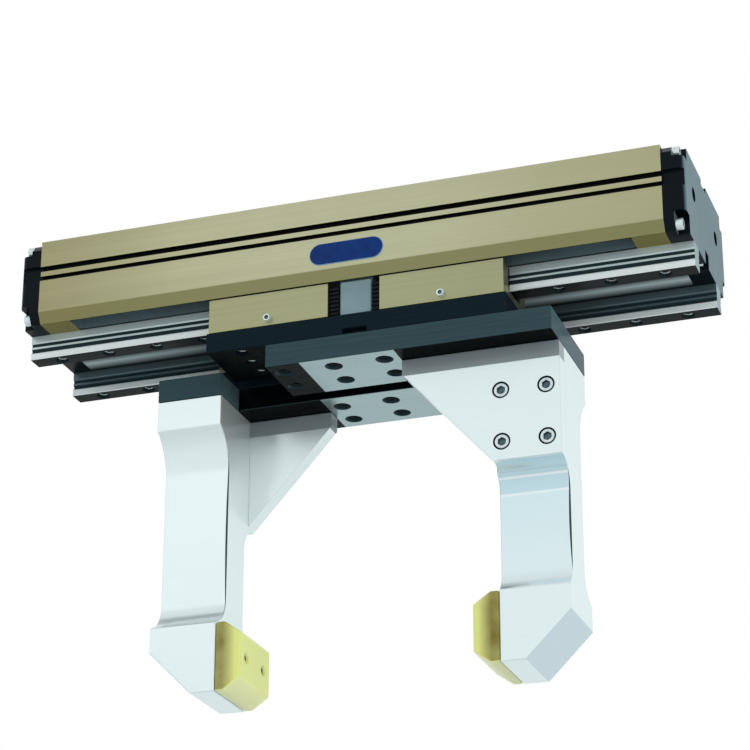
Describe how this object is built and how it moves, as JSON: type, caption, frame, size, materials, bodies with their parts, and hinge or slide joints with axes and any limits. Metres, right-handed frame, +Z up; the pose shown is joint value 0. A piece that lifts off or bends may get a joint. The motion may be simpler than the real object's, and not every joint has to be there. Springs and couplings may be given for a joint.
{
  "type": "electric two finger gripper",
  "caption": "Long-stroke belt-driven parallel gripper: extruded housing, twin guide rails, crossing jaws and tall fingers with elastomer pads.",
  "frame": {"origin": "middle of the housing's flat top face, at the centre of the robot bolt pattern", "axes": "+X along the housing towards the right finger, +Y towards the rear jaw, +Z up out of the top face; fingers point along -Z"},
  "size_m": [0.791, 0.21, 0.5468],
  "materials": {
    "gold_anodised": "brushed and anodised light gold",
    "end_plate_black": "black anodised, satin",
    "rail_steel": "ground and polished steel",
    "carriage_steel": "ground steel",
    "black_plastic": "moulded black plastic",
    "jaw_plate_black": "blue-black steel, satin",
    "adapter_aluminium": "blue-grey milled aluminium",
    "driver_grey": "blasted grey aluminium",
    "finger_aluminium": "bright milled aluminium",
    "pad_elastomer": "cast translucent polyurethane",
    "screw_steel": "bright zinc plated steel",
    "screw_black": "black oxide steel",
    "belt_rubber": "black toothed belt"
  },
  "bodies": {
    "housing": {"housing_profile": "gold_anodised", "left_end_plate": "end_plate_black", "right_end_plate": "end_plate_black", "end_plate_screws": "screw_steel", "front_rail": "rail_steel", "rear_rail": "rail_steel", "rail_screws": "screw_steel", "drive_bearing_block": "driver_grey", "idler_bearing_block": "driver_grey", "drive_bearings": "carriage_steel", "idler_axle": "carriage_steel", "toothed_belt": "belt_rubber", "motor_flange": "end_plate_black"},
    "front_jaw": {"front_jaw_plate": "jaw_plate_black", "front_carriage_left": "carriage_steel", "front_carriage_right": "carriage_steel", "front_carriage_caps": "black_plastic", "front_carriage_screws": "screw_steel", "front_cover_left": "gold_anodised", "front_cover_right": "gold_anodised", "front_cover_screws": "screw_steel", "front_belt_driver": "driver_grey", "front_belt_clamp": "driver_grey", "front_belt_clamp_screws": "screw_steel", "front_wiper_blocks": "black_plastic", "right_adapter_plate": "adapter_aluminium", "right_adapter_screws": "screw_black", "right_finger": "finger_aluminium", "right_finger_bolts": "screw_steel", "right_gusset": "finger_aluminium", "right_gusset_screws": "screw_steel", "right_grip_pad": "pad_elastomer", "right_pad_screws": "screw_steel"},
    "rear_jaw": {"rear_jaw_plate": "jaw_plate_black", "rear_carriage_left": "carriage_steel", "rear_carriage_right": "carriage_steel", "rear_carriage_caps": "black_plastic", "rear_carriage_screws": "screw_steel", "rear_cover_left": "gold_anodised", "rear_cover_right": "gold_anodised", "rear_cover_screws": "screw_steel", "rear_belt_driver": "driver_grey", "rear_belt_clamp": "driver_grey", "rear_belt_clamp_screws": "screw_steel", "rear_wiper_blocks": "black_plastic", "left_adapter_plate": "adapter_aluminium", "left_adapter_screws": "screw_black", "left_finger": "finger_aluminium", "left_finger_bolts": "screw_steel", "left_gusset": "finger_aluminium", "left_gusset_screws": "screw_steel", "left_grip_pad": "pad_elastomer", "left_pad_screws": "screw_steel"},
    "drive_pulley": {"drive_shaft": "carriage_steel", "drive_pulley": "driver_grey"},
    "idler_pulley": {"idler_pulley": "driver_grey", "idler_bearings": "carriage_steel"}
  },
  "joints": [
    {"name": "front_jaw_slide", "type": "slide", "parent": "housing", "child": "front_jaw", "axis": [1, 0, 0], "range_m": [-0.037, 0.124]},
    {"name": "rear_jaw_slide", "type": "slide", "parent": "housing", "child": "rear_jaw", "axis": [-1, 0, 0], "range_m": [-0.037, 0.124]},
    {"name": "drive_spin", "type": "hinge", "parent": "housing", "child": "drive_pulley", "pos_m": [-0.308, 0, -0.0515], "axis": [0, 0, 1], "range_deg": [-42, 140]},
    {"name": "idler_spin", "type": "hinge", "parent": "housing", "child": "idler_pulley", "pos_m": [0.308, 0, -0.0515], "axis": [0, 0, 1], "range_deg": [-42, 140]}
  ],
  "couplings": [
    {"joint": "rear_jaw_slide", "follows": "front_jaw_slide", "ratio": 1},
    {"joint": "drive_spin", "follows": "front_jaw_slide", "rad_per_m": 19.635},
    {"joint": "idler_spin", "follows": "front_jaw_slide", "rad_per_m": 19.635}
  ]
}
